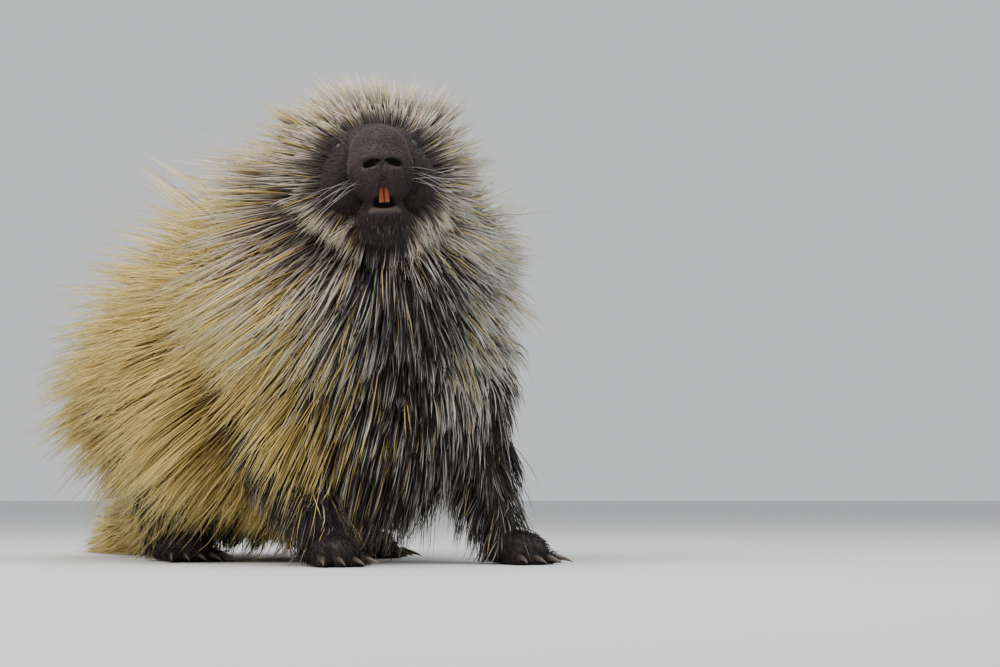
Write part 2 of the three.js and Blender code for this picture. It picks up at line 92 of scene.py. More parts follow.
def rotation(axis, degrees):
    """A turn about one axis, as a matrix for column vectors."""
    c, s = math.cos(math.radians(degrees)), math.sin(math.radians(degrees))
    turns = {
        "x": [[1, 0, 0], [0, c, -s], [0, s, c]],
        "y": [[c, 0, s], [0, 1, 0], [-s, 0, c]],
        "z": [[c, -s, 0], [s, c, 0], [0, 0, 1]],
    }
    return np.array(turns[axis])


def ball(at, size, turn=None):
    """An ellipsoid's distance function."""
    at, size = np.array(at, np.float32), np.array(size, np.float32)

    def distance(p):
        own = p - at
        if turn is not None:
            own = own @ turn.astype(np.float32)
        unit = own / size
        reach = np.linalg.norm(unit, axis=1) + 1e-6
        return reach * (reach - 1) / np.linalg.norm(unit / size, axis=1).clip(1e-6)

    return distance


def limb(start, end, radius_start, radius_end):
    """A round bar's distance function, with a radius at either end."""
    start, end = np.array(start, np.float32), np.array(end, np.float32)
    along = end - start

    def distance(p):
        share = np.clip((p - start) @ along / (along @ along), 0, 1)
        nearest = start + share[:, None] * along
        return np.linalg.norm(p - nearest, axis=1) - (radius_start + (radius_end - radius_start) * share)

    return distance


def ring(at, axis, radius, thickness):
    """A torus's distance function."""
    at = np.array(at, np.float32)
    axis = np.array(axis, np.float32) / np.linalg.norm(axis)

    def distance(p):
        own = p - at
        height = own @ axis
        out = np.linalg.norm(own - height[:, None] * axis, axis=1) - radius
        return np.hypot(out, height) - thickness

    return distance


def melt(a, b, width):
    """Two distances joined, blended over a width."""
    share = np.maximum(width - np.abs(a - b), 0) / width
    return np.minimum(a, b) - share * share * width / 4


def carve(a, b, width):
    """The second distance cut out of the first."""
    return -melt(-a, b, width)


def moulded(blobs, width):
    """Several distances joined, blended over a width."""
    def distance(p):
        total = blobs[0](p)
        for blob in blobs[1:]:
            total = melt(total, blob(p), width)
        return total

    return distance


def mirrored(side, place):
    """A place on the left, with side 1, or its mirror image on the right, with side -1."""
    return np.array([side * place[0], place[1], place[2]])


# The body's parts, as in the solids

TRUNK = moulded([
    ball([-6, 148, 140], [108, 112, 108], rotation("x", -6)),
    ball([-2, 48, 168], [103, 118, 114], rotation("x", 6)),
    ball([2, -70, 188], [92, 90, 108]),
    ball([62, -92, 170], [42, 46, 66]),
    ball([-56, -76, 170], [42, 46, 66]),
], 34)
NECK = moulded([ball([-12, -90, 266], [70, 66, 72]), ball([-34, -102, 328], [54, 49, 52])], 30)
TAIL = moulded([
    limb([-4, 226, 114], [0, 292, 62], 50, 38),
    limb([0, 292, 62], [4, 362, 34], 38, 27),
    limb([4, 362, 34], [10, 447, 15], 27, 15),
], 20)


def foreleg(shoulder, elbow, wrist):
    """An upper arm and a forearm."""
    return moulded([limb(shoulder, elbow, 42, 30), limb(elbow, wrist, 30, 17)], 18)


def hindleg(thigh, heel):
    """A broad thigh and a short shin."""
    shin = limb([thigh[0], thigh[1] - 4, 70], heel, 34, 20)
    return moulded([ball(thigh, [46, 76, 76], rotation("x", 20)), shin], 18)


LEGS = {
    "foreleg_left": foreleg([68, -104, 172], [88, -98, 104], [84, -148, 30]),
    "foreleg_right": foreleg([-64, -66, 172], [-88, -48, 104], [-86, -100, 30]),
    "hindleg_left": hindleg([80, 122, 102], [93, 148, 28]),
    "hindleg_right": hindleg([-88, 122, 102], [-101, 148, 28]),
}
PAWS = {
    "forepaw_left": dict(heel=[85, -150, 17], front=[87, -182, 13], toes=4, claw=22, width=19),
    "forepaw_right": dict(heel=[-87, -102, 17], front=[-91, -134, 13], toes=4, claw=22, width=19),
    "hindpaw_left": dict(heel=[94, 146, 19], front=[104, 84, 13], toes=5, claw=24, width=23),
    "hindpaw_right": dict(heel=[-102, 146, 19], front=[-112, 84, 13], toes=5, claw=24, width=23),
}


def toes_of(paw):
    """Where each toe starts and the way it points, as in the solids."""
    heel, front = np.array(paw["heel"], float), np.array(paw["front"], float)
    ahead = front - heel
    ahead[2] = 0
    ahead /= np.linalg.norm(ahead)
    across = np.cross(ahead, [0, 0, 1])
    toes = []
    for i in range(paw["toes"]):
        share = i / (paw["toes"] - 1) - 0.5
        way = rotation("z", -TOE_FAN * share) @ ahead
        root = np.array([front[0], front[1], TOE_RADIUS - 0.5])
        root += across * share * paw["width"] * 1.5 - ahead * 6 * abs(share)
        toes.append((root, way))
    return toes


def paw_field(paw):
    """A paw's palm and its separate toes, each with a knuckle and a pad."""
    heel, front = np.array(paw["heel"], float), np.array(paw["front"], float)
    middle = (heel + front) / 2
    middle[2] = 14
    ahead = front - heel
    turn = rotation("z", math.degrees(math.atan2(ahead[1], ahead[0])) - 90)
    palm = ball(middle, [paw["width"], np.linalg.norm(ahead) / 2 + 20, 15.5], turn)
    toes = []
    for root, way in toes_of(paw):
        tip = root + way * TOE_LENGTH
        knuckle = root + way * TOE_LENGTH * 0.45 + [0, 0, 2.4]
        toes.append(moulded([limb(root - way * 6, tip, TOE_RADIUS, 5.4), ball(knuckle, [5.6] * 3)], 3))

    def distance(p):
        total = palm(p)
        for toe in toes:
            total = melt(total, toe(p), 3.5)
        return total

    return distance


PAW_FIELDS = {name: paw_field(paw) for name, paw in PAWS.items()}

# The head, in its own frame

HEAD_TURN = rotation("z", -HEAD_YAW) @ rotation("x", -HEAD_PITCH) @ rotation("y", -HEAD_ROLL)


def to_head(p):
    """Places in the animal's frame, in the head's own."""
    return (p - HEAD_AT.astype(np.float32)) @ HEAD_TURN.astype(np.float32)


def from_head(p):
    """Places in the head's own frame, in the animal's."""
    return np.asarray(p) @ HEAD_TURN.T + HEAD_AT


SKULL = moulded([
    ball([0, 16, 8], [43, 50, 40]),
    ball([26, -6, -16], [23, 34, 30]),
    ball([-26, -6, -16], [23, 34, 30]),
    ball([0, -36, 9], [24, 42, 19]),
    ball([0, -54, -12], [27, 29, 25]),
    ball([10, -64, -29], [13, 14, 13]),
    ball([-10, -64, -29], [13, 14, 13]),
    ball([0, -34, -54], [22, 32, 17]),
], 13)


def ear_field(side):
    """A small round cup that faces forward and outward."""
    turn = rotation("z", side * EAR_TURN)
    shell = ball(mirrored(side, EAR_AT), [12, 6, 15], turn)
    hollow = ball(mirrored(side, EAR_AT) + turn @ EAR_HOLLOW, [8.5, 6, 11], turn)
    return lambda p: carve(shell(p), hollow(p), 1.5)


def nostril_field(side, size):
    """A slanting oval where the nostril opens."""
    return ball(mirrored(side, NOSTRIL_AT), size, rotation("y", side * NOSTRIL_TURN))


def muzzle_crease(side):
    """The fold between the muzzle and the cheek, from beside the eye down to the jaw; painted shadow also
    follows it.
    """
    upper = limb([26 * side, -41, 17], [28.5 * side, -42, -18], 1.8, 3.4)
    lower = limb([28.5 * side, -42, -18], [23 * side, -44, -46], 3.4, 1.6)
    return moulded([upper, lower], 2)


def head_field():
    """The head with its lips, brows, lids, sockets, nostrils and parted mouth."""
    lower_lip = ball([0, -61, -55], [14, 9, 6])
    chin = ball([0, -45, -61], [17, 17, 11])
    steps = [(melt, lower_lip, 4), (melt, chin, 8)]
    for side in (1, -1):
        eye = mirrored(side, EYE_AT)
        gaze = mirrored(side, EYE_GAZE) / np.linalg.norm(EYE_GAZE)
        brow = limb([14 * side, -26, 20], [34 * side, -7, 24], 5, 4)
        wing = ball(mirrored(side, [12, -78, -9]), [8, 6, 3.2], rotation("y", side * NOSTRIL_TURN))
        fold = ring(eye + gaze * 1.2, gaze, EYE_RADIUS + 5.2, 0.9)
        lid = ring(eye + gaze * 2.2, gaze, EYE_RADIUS - 0.8, 1.9)
        upper_lid = ring(eye + gaze * 2.6 + [0, 0, 1.4], gaze, EYE_RADIUS - 0.6, 1.5)
        socket = ball(eye, [EYE_RADIUS + 0.15] * 3)
        steps += [
            (melt, brow, 10), (melt, wing, 4), (carve, muzzle_crease(side), 4), (carve, fold, 2.5),
            (melt, lid, 2.5), (melt, upper_lid, 1.5), (melt, ear_field(side), 3),
            (carve, socket, 0.6), (carve, nostril_field(side, NOSTRIL_SIZE), 1.6),
        ]
    steps.append((carve, ball(MOUTH_AT, MOUTH_SIZE), 2))
    for side in (1, -1):
        steps.append((carve, limb([9 * side, -72, -47], [19 * side, -56, -42], 2.4, 1.0), 2))
    philtrum = limb([0, -84.5, -22], [0, -80, -30], 1.4, 2.6)
    crease = ball([0, -83.5, -15], [1.6, 3, 5])
    steps += [(carve, philtrum, 2), (carve, limb(CLEFT_TOP, CLEFT_FOOT, 2.4, 6.8), 2), (carve, crease, 1.5)]

    def distance(p):
        total = SKULL(p)
        for join, blob, width in steps:
            total = join(total, blob(p), width)
        return total

    return distance


HEAD_DETAIL = head_field()

# How far the skin lies inside the solids' bare cores, where the underfur fills the rest
DEPTH = {"trunk": 8, "neck": 6, "tail": 3, "leg": 3}


def body_field(p, head):
    """The whole skin's distance, with the head's own function passed in."""
    total = melt(TRUNK(p) + DEPTH["trunk"], NECK(p) + DEPTH["neck"], 28)
    total = melt(total, TAIL(p) + DEPTH["tail"], 24)
    for leg in LEGS.values():
        total = melt(total, leg(p) + DEPTH["leg"], 18)
    for paw in PAW_FIELDS.values():
        total = melt(total, paw(p), 6)
    total = melt(total, head(to_head(p)), 12)
    return np.maximum(total, 0.1 - p[:, 2])


def skin_field(p):
    """The skin's distance, with every fold of the head."""
    return body_field(p, HEAD_DETAIL)


def plain_field(p):
    """The skin's distance with a plain head, which is quicker."""
    return body_field(p, SKULL)


def slope_of(field, p, step=0.6):
    """The unit way straight out of a field."""
    slope = np.empty_like(p)
    for axis in range(3):
        nudge = np.zeros(3, p.dtype)
        nudge[axis] = step
        slope[:, axis] = field(p + nudge) - field(p - nudge)
    return slope / np.linalg.norm(slope, axis=1, keepdims=True).clip(1e-9)


# The skin's mesh

def grid_line(low, high, fine_low, fine_high):
    """Grid places along one axis, fine over the head's stretch and coarse elsewhere."""
    before = np.arange(fine_low, low - COARSE, -COARSE)[::-1]
    middle = np.arange(fine_low + FINE, fine_high, FINE)
    after = np.arange(fine_high, high + COARSE, COARSE)
    return np.concatenate([before, middle, after]).astype(np.float32)


def field_on_grid(xs, ys, zs):
    """The skin field at each grid place, worked out closely only near the surface."""
    x, y, z = np.meshgrid(xs, ys, zs, indexing="ij")
    p = np.stack([x.ravel(), y.ravel(), z.ravel()], 1)
    values = np.empty(len(p), np.float32)
    for part in np.array_split(np.arange(len(p)), 12):
        rough = plain_field(p[part])
        near = np.abs(rough) < 16
        rough[near] = skin_field(p[part][near])
        values[part] = rough
    return values.reshape(len(xs), len(ys), len(zs))


def surface_net(xs, ys, zs, values):
    """Vertices and quads of the surface where the values change sign."""
    inside = values < 0
    shape = tuple(n - 1 for n in values.shape)
    corners = [(i, j, k) for i in (0, 1) for j in (0, 1) for k in (0, 1)]
    count = np.zeros(shape, np.int8)
    for i, j, k in corners:
        count += inside[i:i + shape[0], j:j + shape[1], k:k + shape[2]]
    cells = np.argwhere((count > 0) & (count < 8))
    index = -np.ones(shape, np.int64)
    index[tuple(cells.T)] = np.arange(len(cells))
    total = np.zeros((len(cells), 3))
    hits = np.zeros(len(cells))
    lines = (xs, ys, zs)
    for a in corners:
        for axis in range(3):
            if a[axis]:
                continue
            b = tuple(1 if n == axis else v for n, v in enumerate(a))
            ca, cb = cells + a, cells + b
            va, vb = values[tuple(ca.T)], values[tuple(cb.T)]
            crossing = (va < 0) != (vb < 0)
            share = np.where(crossing, va / np.where(crossing, va - vb, 1), 0)
            for n in range(3):
                pa, pb = lines[n][ca[:, n]], lines[n][cb[:, n]]
                total[:, n] += np.where(crossing, pa + (pb - pa) * share, 0)
            hits += crossing
    quads = []
    for axis in range(3):
        one, two = [n for n in range(3) if n != axis]
        first = [slice(0, n) for n in values.shape]
        second = list(first)
        first[axis], second[axis] = slice(0, -1), slice(1, None)
        change = inside[tuple(first)] != inside[tuple(second)]
        edges = np.argwhere(change)
        edges = edges[(edges[:, one] > 0) & (edges[:, two] > 0)]
        edges = edges[(edges[:, one] < shape[one]) & (edges[:, two] < shape[two])]
        ring_of = []
        for step_one, step_two in ((-1, -1), (0, -1), (0, 0), (-1, 0)):
            cell = edges.copy()
            cell[:, one] += step_one
            cell[:, two] += step_two
            ring_of.append(index[tuple(cell.T)])
        quad = np.stack(ring_of, 1)
        flip = inside[tuple(edges.T)] == (axis == 1)
        quad[flip] = quad[flip][:, ::-1]
        quads.append(quad)
    return total / hits[:, None], np.concatenate(quads)


def skin_shape():
    """The skin's vertices and quads, settled onto the field."""
    xs = grid_line(-170, 165, -112, 6)
    ys = grid_line(-232, 470, -226, -100)
    zs = grid_line(-6, 420, 282, 408)
    vertices, quads = surface_net(xs, ys, zs, field_on_grid(xs, ys, zs))
    vertices = vertices.astype(np.float32)
    for _ in range(3):
        vertices = relaxed(vertices, quads)
        vertices -= (skin_field(vertices).clip(-2, 2))[:, None] * slope_of(skin_field, vertices, 0.4)
    return vertices, quads


def relaxed(vertices, quads):
    """Each vertex moved part of the way to the middle of its neighbours."""
    total = np.zeros_like(vertices)
    count = np.zeros(len(vertices))
    for a, b in ((0, 1), (1, 2), (2, 3), (3, 0)):
        for one, two in ((a, b), (b, a)):
            np.add.at(total, quads[:, one], vertices[quads[:, two]])
            np.add.at(count, quads[:, one], 1)
    return vertices + 0.4 * (total / count[:, None] - vertices)


# Placing meshes in the frame

def place_of_eyes():
    """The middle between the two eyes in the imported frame, in millimetres."""
    corners = [corner for side in ("left", "right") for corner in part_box(f"eye_{side}")]
    return np.array(sum(corners, Vector())) / len(corners) / MM


STANCE = place_of_eyes() - from_head([(mirrored(1, EYE_AT) + mirrored(-1, EYE_AT)) / 2])[0]


def make_mesh(name, vertices, faces, material):
    """A new object from millimetre vertices in the animal's frame and faces of one size."""
    faces = np.ascontiguousarray(faces, np.int32)
    sides = faces.shape[1]
    mesh = bpy.data.meshes.new(name)
    mesh.vertices.add(len(vertices))
    mesh.vertices.foreach_set("co", ((vertices + STANCE) * MM).astype(np.float32).ravel())
    mesh.loops.add(faces.size)
    mesh.loops.foreach_set("vertex_index", faces.ravel())
    mesh.polygons.add(len(faces))
    mesh.polygons.foreach_set("loop_start", np.arange(0, faces.size, sides, dtype=np.int32))
    mesh.polygons.foreach_set("use_smooth", np.full(len(faces), True))
    mesh.update(calc_edges=True)
    mesh.materials.append(material)
    piece = bpy.data.objects.new(name, mesh)
    bpy.context.scene.collection.objects.link(piece)
    return piece


def paint(piece, name, colours):
    """A colour for each vertex, kept as an attribute that a material reads."""
    attribute = piece.data.color_attributes.new(name, "FLOAT_COLOR", "POINT")
    rgba = np.ones((len(colours), 4), np.float32)
    rgba[:, :3] = colours
    attribute.data.foreach_set("color", rgba.ravel())


# Materials

def new_material(name):
    """A material with its nodes, its links and its shader."""
    material = bpy.data.materials.new(name)
    material.use_nodes = True
    nodes = material.node_tree.nodes
    return material, nodes, material.node_tree.links, nodes["Principled BSDF"]


def set_inputs(node, **values):
    """Sets a node's own sockets, each named with _ for a space."""
    for name, value in values.items():
        node.inputs[name.replace("_", " ")].default_value = value


def painted(nodes, name):
    """The node that reads a painted attribute."""
    node = nodes.new("ShaderNodeAttribute")
    node.attribute_name = name
    return node


def noise(nodes, scale, detail, source=None, links=None):
    """Soft noise, on the given coordinates if there are any."""
    node = nodes.new("ShaderNodeTexNoise")
    set_inputs(node, Scale=scale, Detail=detail)
    if source is not None:
        links.new(source, node.inputs["Vector"])
    return node


def stretched_place(nodes, links, scale):
    """The object's own coordinates, stretched for a texture that runs one way."""
    place = nodes.new("ShaderNodeTexCoord")
    stretch = nodes.new("ShaderNodeMapping")
    set_inputs(stretch, Scale=scale)
    links.new(place.outputs["Object"], stretch.inputs["Vector"])
    return stretch.outputs["Vector"]


def bumped(nodes, links, shader, height, strength, distance):
    """Fine relief on a shader, from a height."""
    bump = nodes.new("ShaderNodeBump")
    set_inputs(bump, Strength=strength, Distance=distance)
    links.new(height, bump.inputs["Height"])
    links.new(bump.outputs["Normal"], shader.inputs["Normal"])


def spread_out(nodes, links, factor, low, high):
    """A factor from 0 to 1, spread from a low value to a high one."""
    limits = nodes.new("ShaderNodeMapRange")
    set_inputs(limits, To_Min=low, To_Max=high)
    links.new(factor, limits.inputs["Value"])
    return limits.outputs["Result"]


def tinted(nodes, links, colour, factor, dark, light):
    """A colour made lighter and darker by a factor from 0 to 1."""
    mix = nodes.new("ShaderNodeVectorMath")
    mix.operation = "SCALE"
    links.new(colour, mix.inputs[0])
    links.new(spread_out(nodes, links, factor, dark, light), mix.inputs["Scale"])
    return mix.outputs["Vector"]


def skin_material():
    """Dark skin under short fur: its colour is painted, its grain is fine streaks and pores."""
    material, nodes, links, shader = new_material("skin")
    paint_node = painted(nodes, "skin_colour")
    streaks = noise(nodes, 900, 2, stretched_place(nodes, links, (1, 1, 0.5)), links)
    colour = tinted(nodes, links, paint_node.outputs["Color"], streaks.outputs["Fac"], 0.85, 1.15)
    links.new(colour, shader.inputs["Base Color"])
    set_inputs(shader, Roughness=0.62, Specular_IOR_Level=0.35)
    bumped(nodes, links, shader, streaks.outputs["Fac"], 0.25, 0.0008)
    return material


def hair_material(name, roughness):
    """Coarse hair: its banded colour is painted, with a little change from place to place."""
    material, nodes, links, shader = new_material(name)
    paint_node = painted(nodes, "hair_colour")
    place = stretched_place(nodes, links, (1, 1, 1))
    patches = noise(nodes, 55, 2, place, links)
    colour = tinted(nodes, links, paint_node.outputs["Color"], patches.outputs["Fac"], 0.75, 1.25)
    links.new(colour, shader.inputs["Base Color"])
    set_inputs(shader, Roughness=roughness, Specular_IOR_Level=0.4)
    fine = noise(nodes, 900, 1, place, links)
    bumped(nodes, links, shader, fine.outputs["Fac"], 0.15, 0.0004)
    return material


def eye_material():
    """A wet, nearly black eye with a dark brown iris."""
    material, nodes, links, shader = new_material("eye")
    paint_node = painted(nodes, "eye_colour")
    fibres = noise(nodes, 900, 4)
    colour = tinted(nodes, links, paint_node.outputs["Color"], fibres.outputs["Fac"], 0.6, 1.4)
    links.new(colour, shader.inputs["Base Color"])
    set_inputs(shader, Roughness=0.12, Specular_IOR_Level=0.3, Coat_Weight=0.35, Coat_Roughness=0.02)
    return material


def horn_material(name, root, tip, roughness):
    """Horn or enamel: painted from root to tip, with fine lengthwise grain."""
    material, nodes, links, shader = new_material(name)
    paint_node = painted(nodes, "length_share")
    blend = nodes.new("ShaderNodeMix")
    blend.data_type = "RGBA"
    set_inputs(blend, A=(*root, 1), B=(*tip, 1))
    links.new(paint_node.outputs["Fac"], blend.inputs["Factor"])
    grain = noise(nodes, 700, 3, stretched_place(nodes, links, (1, 1, 0.3)), links)
    colour = tinted(nodes, links, blend.outputs["Result"], grain.outputs["Fac"], 0.7, 1.3)
    links.new(colour, shader.inputs["Base Color"])
    set_inputs(shader, Roughness=roughness)
    bumped(nodes, links, shader, grain.outputs["Fac"], 0.25, 0.0005)
    return material


def floor_material():
    """A plain pale floor with faint cloudy change."""
    material, nodes, links, shader = new_material("floor")
    grain = noise(nodes, 40, 3)
    pale = spread_out(nodes, links, grain.outputs["Fac"], 0.62, 0.68)
    links.new(pale, shader.inputs["Base Color"])
    set_inputs(shader, Roughness=0.9)
    return material


# Colours of the skin and the eyes

FACE_BROWN = np.array([0.022, 0.013, 0.013])
MUZZLE_BROWN = np.array([0.042, 0.027, 0.027])
# the near-black of the nostrils, eye rims and chin, also used as the painted shadow in the creases beside
# the muzzle
NOSE_AND_SHADOW_DARK = np.array([0.006, 0.004, 0.004])
LIP_BROWN = np.array([0.055, 0.038, 0.029])
MOUTH_DARK = np.array([0.012, 0.006, 0.005])
SKIN_GOLD = np.array([0.070, 0.046, 0.020])
SKIN_GREY = np.array([0.056, 0.052, 0.044])
SKIN_CREAM = np.array([0.050, 0.040, 0.032])
SKIN_DARK = np.array([0.013, 0.010, 0.009])
SOLE_BLACK = np.array([0.018, 0.014, 0.013])
EYE_RIM = np.array([0.02, 0.011, 0.008])
EYE_IRIS = np.array([0.024, 0.012, 0.007])
EYE_PUPIL = np.array([0.003, 0.002, 0.002])

FACE_WORLD = from_head([FACE_AT])[0]
PICTURE_RIGHT = np.array([0.788, -0.616, 0])  # the way to the picture's right, along the floor


def ramp(value, low, high):
    """A smooth rise from 0 to 1 between two values."""
    share = np.clip((value - low) / (high - low), 0, 1)
    return share * share * (3 - 2 * share)


def blend_to(colours, colour, share):
    """Colours drawn towards one colour, each by its own share."""
    return colours + (colour - colours) * share[:, None]


def markings(p, parts):
    """How grey, cream and dark the coat is at each place: golden where it is none of these."""
    own = to_head(p)
    aside = (p - HEAD_AT) @ PICTURE_RIGHT
    grey = 0.9 * ramp(aside, -75, 70)
    cream = 0.9 * (1 - ramp(np.linalg.norm(p - FACE_WORLD, axis=1), 72, 128))
    cream *= 1 - 0.45 * ramp(aside, 0, 55)
    throat = (1 - ramp(np.abs(aside - 12), 26, 62)) * (1 - ramp(own[:, 2], -74, -52))
    throat *= 1 - ramp(p[:, 1], -150, -105)
    low_front = 0.9 * (1 - ramp(p[:, 2], 110, 220)) * (1 - ramp(p[:, 1], -120, -40)) * ramp(aside, -70, 10)
    belly = 0.6 * (1 - ramp(p[:, 2], 50, 95)) * (1 - ramp(p[:, 1], 150, 230))
    legs = (parts == "legs") * np.where(p[:, 1] < 20, 0.92, 0.6)
    return grey, cream, np.maximum.reduce([throat, low_front, belly, legs])


def muzzle_share(own):
    """How far each place belongs to the paler pad over the nose, in the head's own frame."""
    return 1 - ramp(ball([0, -62, 0], [27, 34, 34])(own), -4, 7)


def painted_crease_shadow(own):
    """Painted shadow in the creases beside the muzzle: how strongly the colour is darkened there, at places
    in the head's own frame.
    """
    nearest = np.minimum(muzzle_crease(1)(own), muzzle_crease(-1)(own))
    return 0.92 * (1 - ramp(nearest, 0.5, 5.5))


def skin_colours(p):
    """The skin's painted colour at each place: the coat's markings, face, muzzle, lips and soles, and
    painted shadow in the creases beside the muzzle.
    """
    own = to_head(p)
    grey, cream, dark = markings(p, part_of(p))
    layers = [
        (SKIN_GREY, grey), (SKIN_CREAM, cream), (SKIN_DARK, dark),
        (FACE_BROWN, 1 - ramp(np.linalg.norm(own - FACE_AT, axis=1), 62, 84)),
        # painted shadow: the creases beside the muzzle are darkened nearly to black
        (MUZZLE_BROWN, muzzle_share(own) * 0.85), (NOSE_AND_SHADOW_DARK, painted_crease_shadow(own)),
        (MOUTH_DARK, 1 - ramp(limb(CLEFT_TOP, CLEFT_FOOT, 3, 7)(own), -1, 2)),
        (LIP_BROWN, 1 - ramp(ball([0, -68, -55], [15, 8, 4])(own), 0, 4)),
        (NOSE_AND_SHADOW_DARK, (1 - ramp(own[:, 2], -74, -60)) * 0.8),
        (MOUTH_DARK, 1 - ramp(ball(MOUTH_AT, [11.5, 17, 6])(own), -0.5, 1)),
    ]
    for side in (1, -1):
        layers.append((NOSE_AND_SHADOW_DARK, 1 - ramp(nostril_field(side, NOSTRIL_SIZE)(own), -0.6, 1.2)))
        rim = np.linalg.norm(own - mirrored(side, EYE_AT), axis=1)
        layers.append((NOSE_AND_SHADOW_DARK, 1 - ramp(rim, EYE_RADIUS + 1.5, EYE_RADIUS + 5)))
    feet = np.min([field(p) for field in PAW_FIELDS.values()], axis=0)
    layers.append((SOLE_BLACK, 1 - ramp(feet, 0, 8)))
    colours = np.tile(SKIN_GOLD, (len(p), 1))
    for colour, share in layers:
        colours = blend_to(colours, colour, share)
    return colours


# The coat

# On each part: strands, length, lift in degrees, droop and the way the hair lies far from the face
COATS = {
    "head": dict(strands=8800, length=66, lift=68, droop=0.0, lie=(0, 1, 0), width=0.9, stations=4),
    "neck": dict(strands=14000, length=160, lift=58, droop=0.02, lie=(0, 0.7, -0.5), width=1.15, stations=5),
    "chest": dict(strands=9000, length=112, lift=40, droop=0.1, lie=(0, 0.8, -0.45), width=1.15, stations=5),
    "loin": dict(strands=9200, length=170, lift=54, droop=0.08, lie=(0, 0.85, -0.4), width=1.3, stations=5),
    "rump": dict(strands=9200, length=148, lift=50, droop=0.08, lie=(0, 0.85, -0.5), width=1.3, stations=5),
    "tail": dict(strands=5600, length=62, lift=30, droop=0.05, lie=(0, 1, -0.3), width=1.1, stations=4),
    "legs": dict(strands=8000, length=50, lift=20, droop=0.1, lie=(0, 0.3, -1), width=0.95, stations=4),
    "paws": dict(strands=6500, length=9, lift=22, droop=0.05, lie=(0, -0.8, -0.4), width=0.55, stations=3),
    "face": dict(strands=21500, length=7, lift=17, droop=0.02, lie=(0, 1, 0), width=0.42, stations=3),
}
FACE_REACH = 150  # the distance over which the hair's turn away from the face fades
FACE_PULL = 1.3  # how strongly the hair near the face lies away from it
CHEEK_FORWARD = 20  # how far forward the long cheek hair comes, beside the mouth
CHEEK_DROP = 0.9  # how strongly the hair below the face hangs down
RISE = 1.6  # how far the lie turns up on the upper body, where 1 is level
RISE_HEIGHTS = (170, 300)  # where the lie starts to turn up and where it has turned
RAISED = 7  # degrees by which the hair of the upper back stands up more
RAISED_HEIGHTS = (190, 265)  # where that starts and where it is full
SETTLE = 0.2  # how much of the lie a strand takes up at each step
SCATTER = 0.09  # how unevenly the strands point
LIFT_LEAST = 0.4  # the share of its lift that a coat keeps where it is shortest
UNDERFUR_SHARE = 0.26  # strands that are short, dark underfur
UNDERFUR_LENGTH = 0.42
STRAY_SHARE = 0.1  # strands that are longer and stand out of the coat
STRAY_LENGTH = 1.22
CLUMP = 14  # strands in a clump
BELLY_HEIGHT = 62  # below it the trunk's coat is thinner
BELLY_SHARE = 0.4
PLACES = 420000  # places tried over the whole skin
QUILLS = 1200
LIP_WHISKERS = 8  # on each side
BROW_WHISKERS = 3
PIECE_LIMIT = 190000  # triangles in one piece of coat


def part_of(p):
    """The name of the coat that grows at each place."""
    own = to_head(p)
    fields = {
        "head": SKULL(own), "neck": NECK(p), "trunk": TRUNK(p) + 1, "tail": TAIL(p),
        "legs": np.min([leg(p) for leg in LEGS.values()], axis=0),
        "paws": np.min([paw(p) for paw in PAW_FIELDS.values()], axis=0) - 1,
    }
    names = np.array(list(fields))
    nearest = names[np.argmin(np.stack(list(fields.values())), axis=0)].astype(object)
    trunk = nearest == "trunk"
    nearest[trunk & (p[:, 1] < RIBS)] = "chest"
    nearest[trunk & (p[:, 1] >= RIBS)] = "loin"
    nearest[trunk & (p[:, 1] >= WAIST)] = "rump"
    nearest[(nearest == "head") & (own[:, 1] < face_edge(own))] = "face"
    return nearest


def face_edge(own):
    """How far back the dark, short-haired face reaches: least at the cheeks, beside the mouth."""
    return 2 - 0.22 * np.abs(own[:, 2] + 6) - CHEEK_FORWARD * ramp(-own[:, 2], 14, 44)


def flow_at(p, lie):
    """The way the hair lies: away from the face near it, and the part's own way further off."""
    away = p - FACE_WORLD
    reach = np.linalg.norm(away, axis=1, keepdims=True)
    near = np.exp(-reach / FACE_REACH)
    lie = np.tile(np.array(lie) / np.linalg.norm(lie), (len(p), 1))
    lie[:, 2] *= 1 - RISE * ramp(p[:, 2], *RISE_HEIGHTS)
    flow = lie * (1 - near) + FACE_PULL * near * away / reach
    flow[:, 2] -= CHEEK_DROP * near[:, 0] * ramp(FACE_WORLD[2] - p[:, 2], 0, 40)
    return flow / np.linalg.norm(flow, axis=1, keepdims=True)


def fullness(name, p):
    """The coat's length at each root, as a share of the part's full length."""
    if name == "neck":
        return 0.42 + 0.58 * ramp(p[:, 1], -150, -105)
    if name == "chest":
        return 0.45 + 0.55 * ramp(p[:, 1], -150, -90)
    if name in ("loin", "rump"):
        return 0.36 + 0.64 * ramp(p[:, 2], 50, 170)
    if name == "head":
        own = to_head(p)
        back = 0.6 + 0.5 * ramp(own[:, 1], -6, 12) + 0.75 * ramp(own[:, 1], 6, 40)
        back *= 1 - 0.12 * ramp(own[:, 2], 22, 40)
        folded = np.column_stack([np.abs(own[:, 0]), own[:, 1:]])
        ear = np.linalg.norm(folded - EAR_AT, axis=1)
        return back * (0.35 + 0.65 * ramp(ear, 9, 14))
    if name == "face":
        own = to_head(p)
        behind = ramp(own[:, 1], -70, -20) * ramp(np.abs(own[:, 0]), 12, 30)
        below = 1 - ramp(own[:, 2], -62, -48)
        return 0.5 + 0.9 * behind + 1.3 * below
    return np.ones(len(p))


